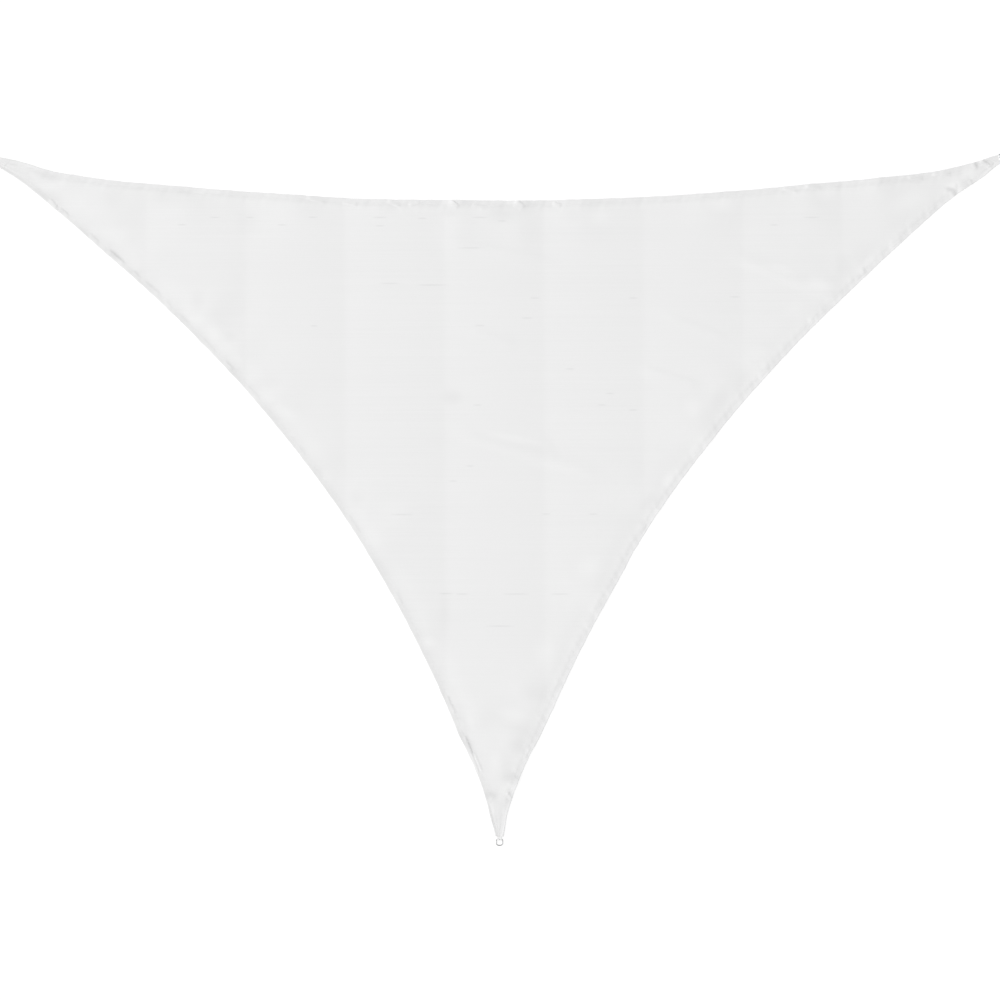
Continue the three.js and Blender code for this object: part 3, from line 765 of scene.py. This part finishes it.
def new_finish(name, **constants):
    """A material with a Principled shader, and the tree to build in."""
    finish = bpy.data.materials.new(name)
    finish.use_nodes = True
    shader = finish.node_tree.nodes["Principled BSDF"]
    for key, value in constants.items():
        shader.inputs[key.replace("_", " ")].default_value = value
    return finish, finish.node_tree, shader


def feed(tree, shader, key, signal):
    tree.links.new(signal.socket, shader.inputs[key])


def coordinates(tree):
    return add_node(tree, "ShaderNodeTexCoord", {}, {}, "Object")


def millimetres(tree):
    vector = coordinates(tree)
    return [add_node(tree, "ShaderNodeSeparateXYZ", {}, {0: vector}, axis) * 1000.0 for axis in "XYZ"]


def noise(tree, vector, scale, detail):
    sockets = {"Vector": vector, "Scale": scale, "Detail": detail}
    return add_node(tree, "ShaderNodeTexNoise", {}, sockets, "Fac")


def stretched_noise(tree, scale, detail):
    """Noise over the piece between 0 and 1, drawn out along an axis by a smaller scale there."""
    spread = add_node(tree, "ShaderNodeMapping", {}, {"Vector": coordinates(tree), "Scale": scale})
    return noise(tree, spread, scale=1.0, detail=detail)


def blend_colour(tree, share, first, second):
    return add_node(tree, "ShaderNodeMix", {"data_type": "RGBA"}, {0: share, 6: first, 7: second}, 2)


def read_attribute(tree, name):
    return add_node(tree, "ShaderNodeAttribute", {"attribute_name": name}, {}, "Fac")


def bump(tree, height, strength, distance):
    sockets = {"Strength": strength, "Distance": distance, "Height": height}
    return add_node(tree, "ShaderNodeBump", {}, sockets)


def knit_height(x, y):
    """Height of the knit between 0 and 1: rounded ribs of loops, with tapes slanting between them."""
    row = y / RIB
    rib = row.wave() ** RIB_FULLNESS
    lean = ((row.fraction() - 0.5).size() - 0.25) * LOOP_LEAN
    loops = (x / LOOP + lean).wave()
    tape = ((x / (2 * LOOP) + row * 0.5) * FULL_TURN).sine().size()
    return rib * ((1 - LOOP_DEPTH) + loops * LOOP_DEPTH) + (1 - rib) * tape * TAPE_HEIGHT


cloth_finish, tree, shader = new_finish("knitted_shade_cloth", Sheen_Weight=0.12, Sheen_Roughness=0.5)
x, y, _ = millimetres(tree)
hem, inside, along, shade = (read_attribute(tree, key) for key in ("hem", "inside", "along", "shade"))
knit = knit_height(x, y)
streaks = stretched_noise(tree, scale=(0.9, 150.0, 1.0), detail=3.0)
bands = stretched_noise(tree, scale=(0.5, 5.0, 1.0), detail=2.0)
mottle = noise(tree, coordinates(tree), scale=26.0, detail=3.0)
# Noise along the hem that places painted shade where the seams draw it in, on the hem and along its seam
# rows.
sockets = {"X": along * DRAWN_ALONG, "Y": inside * DRAWN_ACROSS}
drawn = noise(tree, add_node(tree, "ShaderNodeCombineXYZ", {}, sockets), scale=1.0, detail=3.0)
# Painted shadow along the seam rows, where the hem is drawn in.
seam_shadow = (1 - ((inside - SEAM_MIDDLE) / SEAM_SPREAD).size()).limited()
seam_shadow = seam_shadow * ((drawn - SEAM_FROM) * SEAM_GAIN).limited()
# Painted shade in the openings between the knit's ribs; the doubled hem closes a share of them.
open_share = (1 - knit) ** 2 * (1 - hem * HEM_CLOSED)
tone = open_share * OPEN_SHADE + (streaks - 0.5) * STREAK_TONE + (bands - 0.5) * BAND_TONE
# The doubled hem is darker, with uneven mottle, and painted shade where it is drawn in.
tone = tone + hem * ((mottle - 0.5) * HEM_MOTTLE + (drawn - 0.5) * HEM_GATHER_SHADE + HEM_DOUBLED)
tone = (tone + seam_shadow * SEAM_SHADE) * TONE_SPAN + PLAIN_TONE
# The shade attribute adds the painted shade and light of the patches and flecks.
colour = blend_colour(tree, (tone + shade).limited(), CLOTH_WHITE, CLOTH_SHADE)
feed(tree, shader, "Base Color", colour)
feed(tree, shader, "Roughness", CLOTH_ROUGH + open_share * OPEN_ROUGH)
feed(tree, shader, "Normal", bump(tree, knit, strength=0.35, distance=0.5 * MM))
sail.data.materials.append(cloth_finish)

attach(sail, "root")
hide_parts("sail_cloth")

# ------------------------------------------------------------------ stitching
# Two rows of lockstitch in white polyester thread hold each turned hem down, and short rows across
# each neck hold the tails of the webbing in it.

STITCH_PITCH = 5.2 * MM
STITCH_SHARE = 0.84  # of the pitch that a stitch shows on the upper side
STITCH_RINGS = ((0.2, 0.0), (0.5, 0.15), (0.8, 0.0))  # place along it, and lift in thread widths
STITCH_DIP = 0.8  # its ends lie this many thread widths down in the cloth
THREAD = 0.6 * MM
THREAD_SIDES = 6
TACK_ROWS = (0.072, 0.078, 0.104, 0.110)  # how far back from the ring's outer end they cross the neck
TACK_REACH = 0.018  # to each side of the neck's middle
NECK_CLEAR = 0.006  # the hems' rows stop this far from a neck's end
TWIST = 0.5  # mm from one turn of the thread's yarns to the next
TWIST_LEAN = 0.6
WORN_TONE, TWIST_SHADE = 0.6, 0.3  # how much of the thread's darker tone each takes: wear, and painted shade in the twist's grooves
THREAD_WHITE = (0.800, 0.800, 0.797, 1)
THREAD_SHADE = (0.640, 0.640, 0.642, 1)


def one_stitch():
    """A stitch from 0 to 1 along x: three rings of a thread that dips into the cloth at its ends."""
    turn = np.arange(THREAD_SIDES) * 2 * math.pi / THREAD_SIDES
    ring = np.column_stack((np.cos(turn), np.sin(turn))) * THREAD / 2
    rings = [np.column_stack((np.full(THREAD_SIDES, at), ring + (0, lift * THREAD)))
             for at, lift in STITCH_RINGS]
    vertices = np.vstack((*rings, ((0, 0, -STITCH_DIP * THREAD), (1, 0, -STITCH_DIP * THREAD))))
    first, last = 3 * THREAD_SIDES, 3 * THREAD_SIDES + 1
    faces = []
    for k in range(THREAD_SIDES):
        after = (k + 1) % THREAD_SIDES
        faces += [[first, after, k], [last, k + 2 * THREAD_SIDES, after + 2 * THREAD_SIDES]]
        for low in (0, THREAD_SIDES):
            faces.append([low + k, low + after, low + THREAD_SIDES + after, low + THREAD_SIDES + k])
    return vertices, faces


def seam_rows(edge):
    """Starts and ends of the stitches of one hem, without those nearer to another edge."""
    starts, ends = [], []
    for row in STITCH_ROWS:
        line = evenly(EDGES[edge] + inward(EDGES[edge]) * row, STITCH_PITCH)
        clear = inside_necks(line, NECK_CLEAR) > row - MM
        kept = clear[:-1] & clear[1:]
        starts.append(line[:-1][kept])
        ends.append(line[1:][kept])
    return np.vstack(starts), np.vstack(ends)


def tack_rows():
    starts, ends = [], []
    steps = round(2 * TACK_REACH / STITCH_PITCH)
    across = np.linspace(-TACK_REACH, TACK_REACH, steps + 1)
    for corner in CORNERS:
        for back in TACK_ROWS:
            line = np.array([at_corner(corner, side, back) for side in across])
            starts.append(line[:-1])
            ends.append(line[1:])
    return np.vstack(starts), np.vstack(ends)


def stitching(name, starts, ends):
    """All these stitches as one mesh, lying on the cloth."""
    shape, faces = one_stitch()
    ends = starts + (ends - starts) * STITCH_SHARE
    low, high = (top_height(points, survey(points)) for points in (starts, ends))
    way = ends - starts
    side = np.column_stack((-way[:, 1], way[:, 0])) / np.linalg.norm(way, axis=1)[:, None]
    along, across, lift = shape.T
    flat = starts[:, None] + along[:, None] * way[:, None] + across[:, None] * side[:, None]
    height = low[:, None] + along * (high - low)[:, None] + lift
    vertices = np.concatenate((flat, height[..., None]), axis=2).reshape(-1, 3)
    starts_at = range(0, len(vertices), len(shape))
    return mesh_piece(name, vertices, [[first + k for k in face] for first in starts_at for face in faces])


thread_finish, tree, shader = new_finish("sewing_thread", Roughness=0.6)
x, y, z = millimetres(tree)
twist = ((x + y * TWIST_LEAN + z) / TWIST).wave()
worn = noise(tree, coordinates(tree), scale=60.0, detail=3.0)
# The thread's darker tone: wear, and painted shade in the grooves of its twist.
wear_and_twist_shade = (worn * WORN_TONE + twist * TWIST_SHADE).limited()
feed(tree, shader, "Base Color", blend_colour(tree, wear_and_twist_shade, THREAD_WHITE, THREAD_SHADE))
feed(tree, shader, "Normal", bump(tree, twist, strength=0.4, distance=0.1 * MM))

seams = [stitching(f"stitching_{edge}", *seam_rows(edge)) for edge in EDGES]
seams.append(stitching("stitching_necks", *tack_rows()))
for piece in seams:
    piece.data.materials.append(thread_finish)
    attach(piece, "root")

# ------------------------------------------------------------------ webbing straps
# At each corner the woven polyester webbing of both hems comes out of the neck, the wide one and
# the narrow one side by side, goes round the ring's bar and back into the neck, where it is sewn.

BAR_BACK = 0.037  # the bar's middle behind the ring's outer end
BAR_HEIGHT = 5.2 * MM
WEBBING = 1.5 * MM
LOOP_RADIUS = 4.4 * MM  # middle of the webbing round the bar
LOWER_PLY = 2.6 * MM  # heights of the two plies in the neck
UPPER_PLY = 4.2 * MM
PLIES_MEET = 0.052
TAIL_END = 0.118
LOOP_POINTS, TAIL_POINTS, MEET_POINTS = 25, 12, 14  # along the webbing
EDGE_POINTS, FACE_POINTS = 7, 9  # across it
STRAPS = {"wide": (-13.8 * MM, 14.2 * MM), "narrow": (3.6 * MM, 10.2 * MM)}  # left side, width
TWILL = 1.3  # mm between two yarns
TWILL_LEAN = 0.5
WEFT_SHARE, WARP_SHARE = 0.6, 0.4  # of the weave's height
GAP_SHADE = 0.6  # how much painted shade shows in the gaps between the yarns
STRAP_COLOUR = (0.800, 0.800, 0.798, 1)
STRAP_GAP_SHADE = (0.600, 0.600, 0.602, 1)


def strap_path():
    """Middle of the webbing: how far back and how high, from one tail to the other."""
    turn = np.linspace(-math.pi / 2, -math.pi * 1.5, LOOP_POINTS)
    bar = np.column_stack((BAR_BACK + LOOP_RADIUS * np.cos(turn), BAR_HEIGHT + LOOP_RADIUS * np.sin(turn)))
    bow = np.array(((PLIES_MEET - BAR_BACK) / 2, 0))
    low, high = np.array((PLIES_MEET, LOWER_PLY)), np.array((PLIES_MEET, UPPER_PLY))
    tail = np.linspace(TAIL_END, PLIES_MEET, TAIL_POINTS)[:, None]
    return np.vstack((np.column_stack((tail, tail * 0 + LOWER_PLY)),
                      bezier(low, low - bow, bar[0] + bow, bar[0], MEET_POINTS)[1:],
                      bar[1:],
                      bezier(bar[-1], bar[-1] + bow, high - bow, high, MEET_POINTS)[1:],
                      np.column_stack((tail[::-1], tail * 0 + UPPER_PLY))[1:]))


def webbing_section(width):
    """Outline of the webbing across: flat faces with rounded edges."""
    radius = WEBBING / 2
    turn = np.linspace(-math.pi / 2, math.pi / 2, EDGE_POINTS)
    edge = np.column_stack((width / 2 - radius + radius * np.cos(turn), radius * np.sin(turn)))
    face = np.linspace(width / 2 - radius, radius - width / 2, FACE_POINTS)[1:-1]
    upper = np.column_stack((face, np.full(len(face), radius)))
    return np.vstack((edge, upper, -edge, -upper))


def webbing_strap(name, corner, across_from, width):
    path, section = strap_path(), webbing_section(width)
    way = np.gradient(path, axis=0)
    way /= np.linalg.norm(way, axis=1)[:, None]
    out = np.column_stack((-way[:, 1], way[:, 0]))
    run = np.concatenate(([0], np.cumsum(np.linalg.norm(np.diff(path, axis=0), axis=1))))
    rows, steps = len(path), len(section)
    side = across_from + width / 2 + np.tile(section[:, 0], rows)
    back, height = (np.repeat(path, steps, axis=0)
                    + np.repeat(out, steps, axis=0) * np.tile(section[:, 1], rows)[:, None]).T
    _, _, turn = CORNERS[corner]
    c, s = math.cos(turn), math.sin(turn)
    end = at_corner(corner, 0, 0)
    vertices = np.column_stack((end[0] + c * side - s * back, end[1] + s * side + c * back, height))
    faces = [[row * steps + k, row * steps + (k + 1) % steps, (row + 1) * steps + (k + 1) % steps,
              (row + 1) * steps + k] for row in range(rows - 1) for k in range(steps)]
    faces += [list(range(steps))[::-1], list(range((rows - 1) * steps, rows * steps))]
    return mesh_piece(name, vertices, faces,
                      {"along": np.repeat(run, steps) * 1000, "across": np.tile(section[:, 0], rows) * 1000})


strap_finish, tree, shader = new_finish("woven_webbing", Roughness=0.7)
along, across = read_attribute(tree, "along"), read_attribute(tree, "across")
weft = (along / TWILL + (across / TWILL).size() * TWILL_LEAN).wave()
weave = weft * WEFT_SHARE + (across / TWILL).wave() * WARP_SHARE
# Painted shade in the gaps between the yarns.
gap_shade = ((1 - weave) * GAP_SHADE).limited()
feed(tree, shader, "Base Color", blend_colour(tree, gap_shade, STRAP_COLOUR, STRAP_GAP_SHADE))
feed(tree, shader, "Normal", bump(tree, weave, strength=0.5, distance=0.3 * MM))

for corner in CORNERS:
    for kind, (across_from, width) in STRAPS.items():
        strap = webbing_strap(f"webbing_{corner}_{kind}", corner, across_from, width)
        strap.data.materials.append(strap_finish)
        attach(strap, "root")
        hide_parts(f"strap_{corner}_{kind}")

# ------------------------------------------------------------------ corner rings
# A D-ring of 6 mm stainless steel wire at each corner, bent round and welded shut in its straight
# bar, which lies in the loops of the straps.

RING_WIDTH = 0.042
WIRE = 6 * MM
BOW_DEPTH = 0.010
BAR_BEND = 4 * MM
RING_REACH = 0.034  # from the middle of the bar to the middle of the crown
CROWN_CLEAR = 0.05 * MM  # the crown lies on the floor, this near
RING_TILT = math.asin((BAR_HEIGHT - WIRE / 2 - CROWN_CLEAR) / RING_REACH)
TINY = 0.01 * MM
STEEL = (0.470, 0.472, 0.476, 1)
STEEL_WORN = (0.380, 0.381, 0.384, 1)
STEEL_ROUGH, SCRATCH_ROUGH = 0.22, 0.25


def select_vertices(piece, wanted):
    """Selects the vertices that a test of their place picks, and leaves edit mode on."""
    bpy.ops.object.mode_set(mode="EDIT")
    bpy.ops.mesh.select_mode(type="VERT")
    bpy.ops.mesh.select_all(action="DESELECT")
    bpy.ops.object.mode_set(mode="OBJECT")
    for vertex in piece.data.vertices:
        vertex.select = wanted(vertex.co)
    bpy.ops.object.mode_set(mode="EDIT")


half_width = (RING_WIDTH - WIRE) / 2
bow_middle = BOW_DEPTH - RING_REACH
bpy.ops.object.select_all(action="DESELECT")
bpy.ops.mesh.primitive_circle_add(vertices=64, radius=half_width, location=(0, 0, 0))
ring_wire = bpy.context.object
bpy.ops.object.mode_set(mode="EDIT")
bpy.ops.mesh.select_all(action="SELECT")
bpy.ops.transform.resize(value=(1, BOW_DEPTH / half_width, 1), center_override=(0, 0, 0))
bpy.ops.transform.translate(value=(0, bow_middle, 0))
select_vertices(ring_wire, lambda at: at.y > bow_middle + TINY)
bpy.ops.mesh.delete(type="VERT")
select_vertices(ring_wire, lambda at: abs(at.x) > half_width - TINY)
bpy.ops.mesh.extrude_vertices_move(TRANSFORM_OT_translate={"value": (0, -bow_middle, 0)})
bpy.ops.mesh.select_all(action="SELECT")
bpy.ops.mesh.edge_face_add()
select_vertices(ring_wire, lambda at: at.y > -TINY)
bpy.ops.mesh.bevel(offset=BAR_BEND, segments=6, affect="VERTICES")
bpy.ops.mesh.select_all(action="SELECT")
bpy.ops.mesh.delete(type="ONLY_FACE")
bpy.ops.object.mode_set(mode="OBJECT")
bpy.ops.object.convert(target="CURVE")
ring_wire.data.bevel_depth = WIRE / 2
ring_wire.data.bevel_resolution = 6
bpy.ops.object.convert(target="MESH")
bpy.ops.object.shade_smooth()

steel_finish, tree, shader = new_finish("stainless_wire", Metallic=1.0)
scratches = stretched_noise(tree, scale=(900.0, 900.0, 3600.0), detail=4.0)
wear = noise(tree, coordinates(tree), scale=160.0, detail=3.0)
feed(tree, shader, "Base Color", blend_colour(tree, wear, STEEL, STEEL_WORN))
feed(tree, shader, "Roughness", STEEL_ROUGH + scratches * SCRATCH_ROUGH)
feed(tree, shader, "Normal", bump(tree, scratches, strength=0.25, distance=0.05 * MM))

for corner, (_, _, turn) in CORNERS.items():
    ring = ring_wire.copy()
    ring.data = ring_wire.data.copy()
    ring.name = f"wire_ring_{corner}"
    bpy.context.collection.objects.link(ring)
    ring.location = (*at_corner(corner, 0, BAR_BACK), BAR_HEIGHT)
    ring.rotation_euler = (RING_TILT, 0, turn)
    bpy.ops.object.select_all(action="DESELECT")
    ring.select_set(True)
    bpy.context.view_layer.objects.active = ring
    bpy.ops.object.transform_apply(location=True, rotation=True, scale=True)
    ring.data.materials.append(steel_finish)
    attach(ring, "root")
    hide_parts(f"ring_{corner}")
bpy.data.objects.remove(ring_wire)

# ------------------------------------------------------------------ floor, light and camera
# A plain white floor right under the sail, a broad soft light from the left with a weaker one beside
# it, and a camera straight above that takes in all but the tips of the two upper corners.

FLOOR_SIZE = 600.0
FLOOR_DROP = 0.2 * MM
FLOOR_TONE = 0.20  # the rest of its white is its own glow, so no shadow lies dark on it
FLOOR_GLOW = 0.82
ROOM_LIGHT = 0.645
WINDOW_LIGHT, WINDOW_SPREAD = 2.63, math.radians(60)
WINDOW_LEAN = (0, -math.radians(52), math.radians(6))
SIDE_LIGHT, SIDE_LIGHT_SIZE = 70, 3.0
SIDE_LIGHT_AT = (-10.0, -0.6, 6.0)
VIEW_WIDTH = 5.850
VIEW_MIDDLE = (0.0103, 0.0010)
LENS = 80.0
SENSOR = 36.0
ROLL = 0.0036

bpy.ops.object.select_all(action="DESELECT")
bpy.ops.mesh.primitive_plane_add(size=FLOOR_SIZE, location=(0, 0, -FLOOR_DROP))
floor = bpy.context.object
floor.name = "floor"
floor_finish, tree, shader = new_finish("pale_floor", Roughness=0.9)
shader.inputs["Base Color"].default_value = (FLOOR_TONE, FLOOR_TONE, FLOOR_TONE, 1)
shader.inputs["Emission Color"].default_value = (1, 1, 1, 1)
shader.inputs["Emission Strength"].default_value = FLOOR_GLOW
floor.data.materials.append(floor_finish)

world = bpy.data.worlds.new("studio")
bpy.context.scene.world = world
world.use_nodes = True
world.node_tree.nodes["Background"].inputs["Color"].default_value = (1, 1, 1, 1)
world.node_tree.nodes["Background"].inputs["Strength"].default_value = ROOM_LIGHT

sun = bpy.data.lights.new("window_light", "SUN")
sun.energy = WINDOW_LIGHT
sun.angle = WINDOW_SPREAD
lamp = bpy.data.objects.new("window_light", sun)
lamp.rotation_euler = WINDOW_LEAN
bpy.context.collection.objects.link(lamp)

side_light = bpy.data.lights.new("side_light", "AREA")
side_light.energy = SIDE_LIGHT
side_light.size = SIDE_LIGHT_SIZE
lamp = bpy.data.objects.new("side_light", side_light)
lamp.location = SIDE_LIGHT_AT
lamp.rotation_euler = (-lamp.location).to_track_quat("-Z", "Y").to_euler()
bpy.context.collection.objects.link(lamp)

camera_data = bpy.data.cameras.new("camera")
camera_data.lens = LENS
camera_data.sensor_width = SENSOR
camera = bpy.data.objects.new("camera", camera_data)
camera.location = (*VIEW_MIDDLE, VIEW_WIDTH / SENSOR * LENS)
camera.rotation_euler = (0, 0, -ROLL)
bpy.context.collection.objects.link(camera)
bpy.context.scene.camera = camera
bpy.context.scene.view_settings.view_transform = "Standard"
